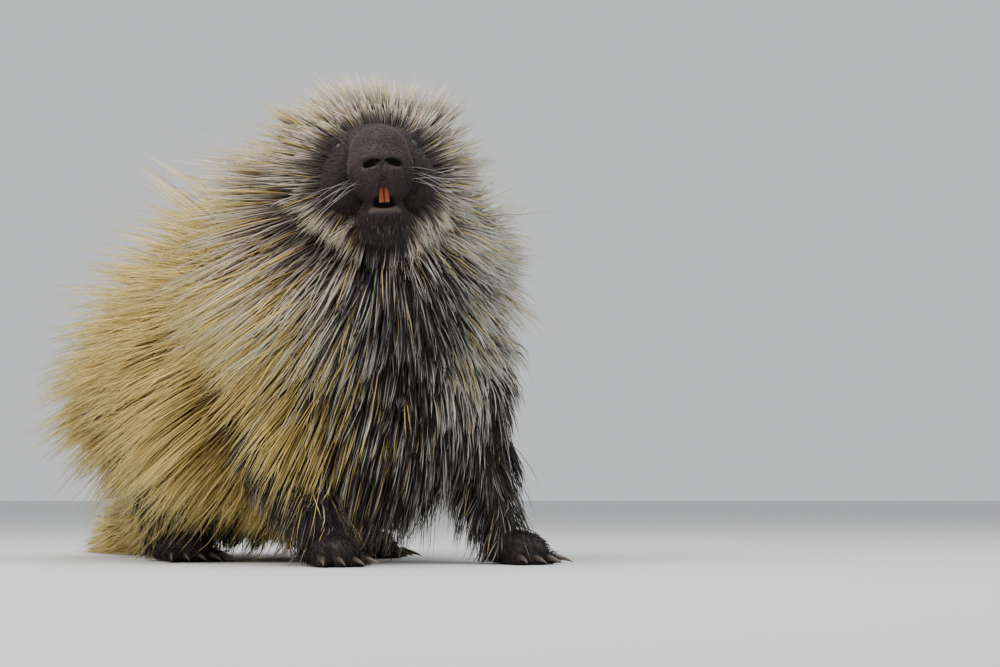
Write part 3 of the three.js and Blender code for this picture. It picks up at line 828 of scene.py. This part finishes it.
def strand_paths(roots, coat, lengths, lifts):
    """The middle line of every strand, as stations from root to tip."""
    steps = coat["stations"] - 1
    out = slope_of(plain_field, roots)
    flow = flow_at(roots, coat["lie"])
    flat = flow - out * np.sum(out * flow, axis=1, keepdims=True)
    flat /= np.linalg.norm(flat, axis=1, keepdims=True).clip(1e-6)
    angle = np.radians(lifts)[:, None]
    way = flat * np.cos(angle) + out * np.sin(angle)
    way += rng.normal(0, SCATTER, way.shape)
    way /= np.linalg.norm(way, axis=1, keepdims=True)
    stations = [roots - out * 1.5]
    point = roots.copy()
    for step in range(steps):
        point = point + way * (lengths / steps)[:, None]
        wanted = np.minimum(lengths * 0.05, 5) * (step + 1) / steps + 0.5
        short = (wanted - plain_field(point.astype(np.float32))).clip(0, 12)
        point = point + slope_of(plain_field, point.astype(np.float32)) * short[:, None]
        point[:, 2] = np.maximum(point[:, 2], 1.5)
        stations.append(point)
        way = way + (flow_at(point, coat["lie"]) - way) * SETTLE
        way[:, 2] -= coat["droop"]
        way /= np.linalg.norm(way, axis=1, keepdims=True)
    return np.stack(stations, 1)


def clumped(paths, roots, share, per_clump):
    """Strands drawn towards the line of their clump, more so towards the tip."""
    leaders = rng.choice(len(roots), len(roots) // per_clump, replace=False)
    tree = KDTree(len(leaders))
    for i, leader in enumerate(leaders):
        tree.insert(roots[leader], i)
    tree.balance()
    own = np.array([leaders[tree.find(root)[1]] for root in roots])
    t = np.linspace(0, 1, paths.shape[1])[None, :, None]
    pull = share * t ** 1.4 * rng.uniform(0.5, 1.0, (len(roots), 1, 1))
    offset = (roots - roots[own])[:, None, :] * (1 - 0.75 * t)
    paths = paths + (paths[own] + offset - paths) * pull
    paths[:, :, 2] = np.maximum(paths[:, :, 2], 1.2)
    return paths


def station_shares(stations):
    """Each vertex's share of a strand's length, from the root's ring to the tip's point."""
    return np.concatenate([np.repeat(np.linspace(0, 1, stations)[:-1], 3), [1.0]])


def strand_mesh(paths, widths):
    """Three-sided strands that taper to a point: vertices, triangles and each one's share of the length."""
    count, stations = paths.shape[:2]
    ahead = np.gradient(paths, axis=1)
    ahead /= np.linalg.norm(ahead, axis=2, keepdims=True).clip(1e-9)
    spin = rng.normal(size=(count, 1, 3))
    across = np.cross(ahead, spin)
    across /= np.linalg.norm(across, axis=2, keepdims=True).clip(1e-9)
    up = np.cross(ahead, across)
    t = np.linspace(0, 1, stations)
    taper = (0.75 + 1.2 * t - 1.7 * t ** 2)[:-1]
    rings = []
    for corner in range(3):
        angle = 2 * math.pi * corner / 3
        side = across * math.cos(angle) + up * math.sin(angle)
        radius = (widths[:, None] * 0.58 * taper)[:, :, None]
        rings.append(paths[:, :-1] + side[:, :-1] * radius)
    body = np.stack(rings, 2).reshape(count, -1, 3)
    vertices = np.concatenate([body, paths[:, -1:]], 1)
    pattern = []
    for level in range(stations - 2):
        for corner in range(3):
            a, b = 3 * level + corner, 3 * level + (corner + 1) % 3
            pattern += [[a, b, b + 3], [a, b + 3, a + 3]]
    last = 3 * (stations - 2)
    pattern += [[last + c, last + (c + 1) % 3, last + 3] for c in range(3)]
    per = vertices.shape[1]
    triangles = (np.array(pattern)[None] + (np.arange(count) * per)[:, None, None]).reshape(-1, 3)
    corner_of = np.concatenate([np.tile([0, 0.5, 1.0], stations - 1), [0.5]])
    return vertices.reshape(-1, 3), triangles, station_shares(stations), corner_of, per


# Hair colours from root to tip, each a list of (share of the length, colour)
GOLD = [
    (0, (0.030, 0.018, 0.010)), (0.25, (0.17, 0.10, 0.03)),
    (0.55, (0.60, 0.42, 0.105)), (1, (0.86, 0.70, 0.28)),
]
CREAM = [
    (0, (0.014, 0.009, 0.008)), (0.3, (0.05, 0.035, 0.03)),
    (0.55, (0.48, 0.39, 0.30)), (1, (0.84, 0.75, 0.62)),
]
GREY = [
    (0, (0.022, 0.018, 0.016)), (0.3, (0.15, 0.14, 0.11)),
    (0.6, (0.52, 0.50, 0.42)), (1, (0.80, 0.79, 0.71)),
]
DARK = [(0, (0.008, 0.006, 0.005)), (0.5, (0.014, 0.010, 0.009)), (1, (0.035, 0.026, 0.021))]
FROST = [
    (0, (0.010, 0.008, 0.007)), (0.5, (0.03, 0.025, 0.02)),
    (0.75, (0.36, 0.34, 0.29)), (1, (0.70, 0.68, 0.61)),
]
WOOL = [(0, (0.014, 0.009, 0.007)), (1, (0.070, 0.045, 0.028))]
FACE_HAIR = [(0, (0.018, 0.012, 0.012)), (1, (0.048, 0.033, 0.031))]
PALETTES = (GOLD, GREY, CREAM, DARK, FROST, WOOL, FACE_HAIR)
IS_GOLD, IS_GREY, IS_CREAM, IS_DARK, IS_FROST, IS_WOOL, IS_FACE = range(len(PALETTES))


def band(palette, t):
    """A palette's colour at each share of a strand's length."""
    stops = np.array([stop for stop, _ in palette])
    colours = np.array([colour for _, colour in palette])
    return np.stack([np.interp(t, stops, colours[:, n]) for n in range(3)], -1)


def hair_colours(name, roots, share, under):
    """The colour of every strand at each station, by where it grows and whether it is underfur, with painted
    shadow on the face hair near the creases beside the muzzle.
    """
    count = len(roots)
    table = np.stack([band(palette, share) for palette in PALETTES])
    own = to_head(roots)
    if name in ("face", "paws"):
        choice = np.full(count, IS_FACE if name == "face" else IS_DARK)
        pale = (name == "face") & (rng.random(count) < 0.05 * (1 - ramp(own[:, 2], -62, -50)))
        choice[pale] = IS_FROST
        # face hair: a random tone, paler over the muzzle, and darkened near the creases beside it as painted
        # shadow
        shade = rng.uniform(0.7, 1.35, count) * (1 - painted_crease_shadow(own)) * (1 + 0.4 * muzzle_share(own))
        return table[choice] * shade[:, None, None]
    grey, cream, dark = markings(roots, np.full(count, name, object))
    draw = rng.random((4, count))
    choice = np.where(draw[0] < grey, IS_GREY, IS_GOLD)
    choice[draw[1] < cream] = IS_CREAM
    choice[draw[2] < dark] = IS_DARK
    choice[(choice == IS_DARK) & (draw[3] < 0.2 + 0.2 * grey)] = IS_FROST
    choice[under] = IS_WOOL
    return table[choice] * rng.uniform(0.7, 1.25, (count, 1, 1))


def unwrap(name, roots):
    """Each root's place on an unwrap of the skin: round and along its own part."""
    if name in ("head", "face"):
        own = to_head(roots)
        u = np.arctan2(own[:, 0], own[:, 2] + 12) / (2 * math.pi) + 0.5
        v = (own[:, 1] + 95) / 175
    elif name == "neck":
        u = np.arctan2(roots[:, 0] + 24, -(roots[:, 1] + 96)) / (2 * math.pi) + 0.5
        v = (roots[:, 2] - 170) / 230
    elif name in ("legs", "paws"):
        quarter = (roots[:, 0] > 0) + 2 * (roots[:, 1] > 20)
        centre_x = np.where(roots[:, 0] > 0, 88, -92)
        centre_y = np.where(roots[:, 1] > 20, 125, np.where(roots[:, 0] > 0, -120, -75))
        turn = np.arctan2(roots[:, 0] - centre_x, roots[:, 1] - centre_y) / (2 * math.pi) + 0.5
        u = (quarter + turn) / 4
        v = roots[:, 2] / 215
    else:
        middle = np.interp(roots[:, 1], [-160, 50, 200, 300, 450], [190, 168, 130, 60, 16])
        u = np.arctan2(roots[:, 0], roots[:, 2] - middle) / (2 * math.pi) + 0.5
        v = (roots[:, 1] + 170) / 640
    return np.stack([0.005 + 0.985 * u.clip(0, 1), 0.005 + 0.985 * v.clip(0, 1)], 1)


PATCH = 0.003  # the size of one strand's patch on the bake map


def add_bake_map(piece, name, roots, triangles, share, corner_of, per):
    """The map that baking uses: each strand a small patch at its root's place on the skin's unwrap."""
    start = unwrap(name, roots)
    strand = np.arange(len(roots)).repeat(per)
    uv = start[strand] + PATCH * np.stack([np.tile(corner_of, len(roots)), np.tile(share, len(roots))], 1)
    layer = piece.data.uv_layers.new(name="OFBake")
    layer.data.foreach_set("uv", uv[triangles.ravel()].astype(np.float32).ravel())


def inside_box(paths):
    """Strands that would leave the solids' box are drawn back towards their roots."""
    low = np.array(cad_box[0]) / MM - STANCE
    high = np.array(cad_box[1]) / MM - STANCE
    slack = 8 + 0.025 * (high - low)
    root = paths[:, :1]
    reach = paths - root
    room = np.where(reach > 0, high + slack - root, root - low + slack)
    over = (np.abs(reach) / room.clip(1)).max(axis=(1, 2))
    return root + reach / np.maximum(over, 1)[:, None, None]


def make_strands(label, name, roots, paths, widths, material, colours):
    """One piece of coat from strand paths, painted and mapped."""
    vertices, triangles, share, corner_of, per = strand_mesh(inside_box(paths), widths)
    piece = make_mesh(label, vertices, triangles, material)
    paint(piece, "hair_colour", colours.reshape(-1, 3))
    add_bake_map(piece, name, roots, triangles, share, corner_of, per)
    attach(piece, "root")
    return piece


def sample_roots(vertices, quads):
    """Places spread evenly over the skin, many more than are used, each with its coat's name."""
    triangles = np.concatenate([quads[:, [0, 1, 2]], quads[:, [0, 2, 3]]])
    a, b, c = (vertices[triangles[:, n]] for n in range(3))
    area = np.linalg.norm(np.cross(b - a, c - a), axis=1)
    pick = rng.choice(len(triangles), PLACES, p=area / area.sum())
    u, v = rng.random((2, len(pick), 1))
    flip = u + v > 1
    u, v = np.where(flip, 1 - u, u), np.where(flip, 1 - v, v)
    places = a[pick] + (b - a)[pick] * u + (c - a)[pick] * v
    return places.astype(np.float32), part_of(places.astype(np.float32))


def kept_roots(name, places):
    """Drops roots in the mouth, nostrils, eyes and ears, and thins the belly."""
    own = to_head(places)
    keep = places[:, 2] > 3
    if name == "face":
        keep &= ball(MOUTH_AT, [12, 17, 7])(own) > 0.5
        keep &= limb(CLEFT_TOP, CLEFT_FOOT, 2.4, 6.8)(own) > 1
        for side in (1, -1):
            keep &= nostril_field(side, [9, 9, 4])(own) > 0.3
    if name in ("face", "head"):
        for side in (1, -1):
            keep &= np.linalg.norm(own - mirrored(side, EYE_AT), axis=1) > EYE_RADIUS + 2.2
            hollow = mirrored(side, EAR_AT) + rotation("z", side * EAR_TURN) @ EAR_HOLLOW
            keep &= np.linalg.norm(own - hollow, axis=1) > 9
    if name in ("chest", "loin", "rump"):
        keep &= (places[:, 2] > BELLY_HEIGHT) | (rng.random(len(places)) < BELLY_SHARE)
    return places[keep]


def grow_coat(vertices, quads):
    """Every part's coat, in pieces small enough to export."""
    long_hair = hair_material("guard_hair", 0.42)
    short_hair = hair_material("short_fur", 0.6)
    places, parts = sample_roots(vertices, quads)
    for name, coat in COATS.items():
        roots = kept_roots(name, places[parts == name])
        roots = roots[:coat["strands"]]
        full = fullness(name, roots)
        long_coat = coat["stations"] > 3
        under = long_coat & (rng.random(len(roots)) < UNDERFUR_SHARE)
        stray = long_coat & ~under & (rng.random(len(roots)) < STRAY_SHARE)
        lengths = coat["length"] * full * rng.uniform(0.68, 1.12, len(roots))
        lengths *= np.where(under, UNDERFUR_LENGTH, np.where(stray, STRAY_LENGTH, 1))
        lifts = coat["lift"] * (LIFT_LEAST + (1 - LIFT_LEAST) * full.clip(0, 1))
        lifts += rng.normal(0, 7, len(roots)) - 8 * under
        if name in ("loin", "rump", "chest"):
            lifts += RAISED * ramp(roots[:, 2], *RAISED_HEIGHTS)
        paths = strand_paths(roots, coat, lengths, lifts)
        if long_coat:
            paths = np.where(stray[:, None, None], paths, clumped(paths, roots, 0.8, CLUMP))
        widths = coat["width"] * rng.uniform(0.7, 1.2, len(roots)) * np.where(stray, 0.7, 1)
        colours = hair_colours(name, roots, station_shares(coat["stations"]), under)
        material = long_hair if long_coat else short_hair
        per_strand = 6 * (coat["stations"] - 2) + 3
        pieces = math.ceil(len(roots) * per_strand / PIECE_LIMIT)
        for i, part in enumerate(np.array_split(np.arange(len(roots)), pieces)):
            label = f"coat_{name}_{i + 1}"
            make_strands(label, name, roots[part], paths[part], widths[part], material, colours[part])


# The pieces that stay separate

def round_shape(rings, sides):
    """Quads between rings of points that run from a root to a tip."""
    faces = []
    for level in range(rings - 1):
        for side in range(sides):
            a = level * sides + side
            b = level * sides + (side + 1) % sides
            faces.append([a, b, b + sides, a + sides])
    return np.array(faces)


def make_eye(side, material):
    """A globe with a bulging cornea, painted with a pupil, an iris and a dark rim."""
    sides, rings = 40, 28
    gaze = mirrored(side, EYE_GAZE) / np.linalg.norm(EYE_GAZE)
    one = np.cross(gaze, [0, 0, 1])
    one /= np.linalg.norm(one)
    two = np.cross(gaze, one)
    angle = np.linspace(0.0005, math.pi - 0.0005, rings)[:, None]
    turn = np.linspace(0, 2 * math.pi, sides, endpoint=False)[None]
    bulge = EYE_RADIUS * (1 + 0.05 * np.exp(-(angle / 0.55) ** 2))
    shape = bulge[..., None] * (
        np.cos(angle)[..., None] * gaze
        + (np.sin(angle) * np.cos(turn))[..., None] * one
        + (np.sin(angle) * np.sin(turn))[..., None] * two
    )
    vertices = from_head(shape.reshape(-1, 3) + mirrored(side, EYE_AT))
    name = "left" if side > 0 else "right"
    piece = make_mesh(f"globe_{name}", vertices, round_shape(rings, sides), material)
    spread = np.repeat(angle[:, 0], sides)
    colours = np.tile(EYE_RIM, (len(spread), 1))
    colours = blend_to(colours, EYE_IRIS, 1 - ramp(spread, 0.62, 0.72))
    colours = blend_to(colours, EYE_PUPIL, 1 - ramp(spread, 0.34, 0.4))
    paint(piece, "eye_colour", colours)
    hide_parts(f"eye_{name}")
    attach(piece, "root")


def swept(points, half_widths, half_depths, across, sides=16):
    """Rings of an oval section along a line of points."""
    ahead = np.gradient(points, axis=0)
    ahead /= np.linalg.norm(ahead, axis=1, keepdims=True)
    across = np.asarray(across) / np.linalg.norm(across)
    up = np.cross(across, ahead)
    turn = np.linspace(0, 2 * math.pi, sides, endpoint=False)
    rings = []
    for i, point in enumerate(points):
        ring_points = point + np.cos(turn)[:, None] * across * half_widths[i]
        rings.append(ring_points + np.sin(turn)[:, None] * up[i] * half_depths[i])
    return np.concatenate(rings), round_shape(len(points), sides)


def make_horn_piece(label, node, points, half_widths, half_depths, across, material):
    """A claw or tooth that stands for its solid."""
    vertices, faces = swept(points, half_widths, half_depths, across)
    piece = make_mesh(label, vertices, faces, material)
    share = np.repeat(np.linspace(0, 1, len(points)), len(vertices) // len(points))
    paint(piece, "length_share", np.repeat(share[:, None], 3, 1))
    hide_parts(node)
    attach(piece, "root")


def make_claws(material):
    """A long claw on every toe, curving down to the floor."""
    for name, paw in PAWS.items():
        for i, (root, way) in enumerate(toes_of(paw)):
            t = np.linspace(0, 1, 12)[:, None]
            start = root + way * (TOE_LENGTH + TOE_RADIUS - 6) + [0, 0, 1.7]
            points = start + way * t * (paw["claw"] + 0.5) - np.array([0, 0, 1]) * 5 * t ** 2
            points[:, 2] = np.maximum(points[:, 2], 0.5)
            width = 2.5 * (1 - t[:, 0] ** 1.6) + 0.12
            across = np.cross(way, [0, 0, 1])
            label = f"nail_{name}_{i + 1}"
            node = f"claw_{name}_{i + 1}"
            make_horn_piece(label, node, points, width, width * 1.15, across, material)


def make_incisors(material):
    """Two long chisel teeth below the upper lip."""
    for side, name in ((1, "left"), (-1, "right")):
        t = np.linspace(0, 1, 12)[:, None]
        top = np.array([side * 2.45, -71.6, -30.4])
        points = top + t * [0, 3.2, -17.2] - np.sin(t * math.pi) * [0, 0.9, 0]
        width = 2.3 - 0.25 * np.abs(np.sin(t[:, 0] * 4.2 + side))
        depth = 1.9 * (1 - 0.6 * t[:, 0] ** 2)
        node = f"incisor_{name}"
        world = from_head(points)
        across = HEAD_TURN @ [1, 0, 0]
        make_horn_piece(f"tooth_{name}", node, world, width, depth, across, material)


def make_whiskers():
    """A few long stiff whiskers from the upper lip and cheeks, and over the eyes."""
    material = hair_material("whisker", 0.35)
    starts, ways = [], []
    for side in (1, -1):
        for _ in range(LIP_WHISKERS):
            starts.append([side * rng.uniform(15, 24), rng.uniform(-76, -58), rng.uniform(-34, -18)])
            ways.append([side * 1, rng.uniform(-0.2, 0.5), rng.uniform(-0.6, 0.15)])
        for _ in range(BROW_WHISKERS):
            starts.append([side * rng.uniform(22, 30), rng.uniform(-34, -24), rng.uniform(24, 32)])
            ways.append([side * 0.7, -0.2, rng.uniform(0.4, 0.9)])
    starts, ways = np.array(starts), np.array(ways)
    ways /= np.linalg.norm(ways, axis=1, keepdims=True)
    own = starts.astype(np.float32)
    own -= HEAD_DETAIL(own)[:, None] * slope_of(HEAD_DETAIL, own)
    t = np.linspace(0, 1, 8)[None, :, None]
    lengths = rng.uniform(28, 52, (len(starts), 1, 1))
    paths = own[:, None] + ways[:, None] * lengths * t + np.array([0, 9, -9]) * t ** 2
    world = from_head(paths.reshape(-1, 3)).reshape(paths.shape)
    roots = world[:, 0].astype(np.float32)
    count = len(roots)
    pale = [(0, (0.06, 0.045, 0.04)), (0.3, (0.32, 0.29, 0.26)), (1, (0.60, 0.57, 0.53))]
    colours = np.repeat(band(pale, station_shares(8))[None], count, 0)
    make_strands("whiskers", "face", roots, world, np.full(count, 0.34), material, colours)


def make_quills(vertices, quads):
    """Stiff pale quills with dark tips, standing in the coat of the back, rump and tail."""
    material = hair_material("quill", 0.3)
    places, parts = sample_roots(vertices, quads)
    pick = ((parts == "rump") | (parts == "loin") | (parts == "tail")) & (places[:, 2] > 60)
    roots = places[pick][:QUILLS]
    coat = dict(COATS["rump"], stations=5, droop=0)
    lengths = rng.uniform(40, 66, len(roots))
    paths = strand_paths(roots, coat, lengths, 40 + rng.normal(0, 9, len(roots)))
    straight = paths[:, :1] + (paths[:, -1:] - paths[:, :1]) * np.linspace(0, 1, 5)[None, :, None]
    paths = paths + (straight - paths) * 0.7
    shaft = [
        (0, (0.5, 0.42, 0.26)), (0.6, (0.68, 0.60, 0.42)),
        (0.85, (0.10, 0.07, 0.05)), (1, (0.02, 0.015, 0.012)),
    ]
    colours = np.repeat(band(shaft, station_shares(5))[None], len(roots), 0)
    colours *= rng.uniform(0.75, 1.15, (len(roots), 1, 1))
    make_strands("quills", "rump", roots, paths, np.full(len(roots), 1.9), material, colours)


def make_skin():
    """One skin for the whole animal, in place of every node of flesh."""
    vertices, quads = skin_shape()
    piece = make_mesh("skin", vertices, quads, skin_material())
    paint(piece, "skin_colour", skin_colours(vertices))
    flesh = ["head", "neck", "chest", "loin", "rump", "tail_base", "tail_tip", "ear_left", "ear_right"]
    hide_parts(*flesh, *LEGS, *PAWS)
    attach(piece, "root")
    return vertices, quads


# The studio

CAMERA_AZIMUTH = -38
CAMERA_DISTANCE = 2000
CAMERA_HEIGHT = 60
AIM_ASIDE = 112  # how far right of the head the picture's middle is
AIM_HEIGHT = 209
LENS = 80


def make_camera():
    """Low in front of the animal's right shoulder, with the animal in the left half of the picture."""
    azimuth = math.radians(CAMERA_AZIMUTH)
    right = np.array([math.cos(azimuth), math.sin(azimuth), 0])
    back = np.array([math.sin(azimuth), -math.cos(azimuth), 0])
    aim = HEAD_AT + STANCE + right * AIM_ASIDE
    aim[2] = AIM_HEIGHT
    place = aim + back * CAMERA_DISTANCE
    place[2] = CAMERA_HEIGHT
    camera = bpy.data.cameras.new("camera")
    camera.lens = LENS
    camera.clip_end = 100
    piece = bpy.data.objects.new("camera", camera)
    bpy.context.scene.collection.objects.link(piece)
    piece.location = Vector(place * MM)
    piece.rotation_euler = Vector((place - aim) * MM).to_track_quat("Z", "Y").to_euler()
    bpy.context.scene.camera = piece


def make_light(name, azimuth, elevation, distance, size, power, colour):
    """A soft square light aimed at the animal."""
    light = bpy.data.lights.new(name, "AREA")
    light.size = size
    light.energy = power
    light.color = colour
    piece = bpy.data.objects.new(name, light)
    bpy.context.scene.collection.objects.link(piece)
    a, e = math.radians(azimuth), math.radians(elevation)
    way = Vector((math.sin(a) * math.cos(e), -math.cos(a) * math.cos(e), math.sin(e)))
    piece.location = way * distance + Vector((0, 0, 0.2))
    piece.rotation_euler = way.to_track_quat("Z", "Y").to_euler()


def make_studio():
    """Even pale surroundings, a plain floor and three soft lights."""
    world = bpy.data.worlds.new("studio")
    world.use_nodes = True
    background = world.node_tree.nodes["Background"]
    background.inputs["Color"].default_value = (0.80, 0.82, 0.84, 1)
    background.inputs["Strength"].default_value = 0.85
    bpy.context.scene.world = world
    bpy.ops.mesh.primitive_plane_add(size=120)
    floor = bpy.context.object
    floor.name = "floor"
    floor.data.materials.append(floor_material())
    make_light("key", -75, 48, 2.2, 1.6, 48, (1.0, 0.97, 0.93))
    make_light("fill", 25, 35, 2.6, 2.0, 22, (0.93, 0.96, 1.0))
    make_light("top", -20, 85, 2.2, 1.8, 26, (1.0, 1.0, 1.0))


make_camera()
make_studio()
skin_vertices, skin_quads = make_skin()
grow_coat(skin_vertices, skin_quads)
make_quills(skin_vertices, skin_quads)
make_whiskers()
globe = eye_material()
make_eye(1, globe)
make_eye(-1, globe)
make_claws(horn_material("claw", (0.045, 0.03, 0.024), (0.11, 0.085, 0.065), 0.38))
make_incisors(horn_material("tooth", (0.16, 0.020, 0.0005), (0.26, 0.046, 0.001), 0.5))
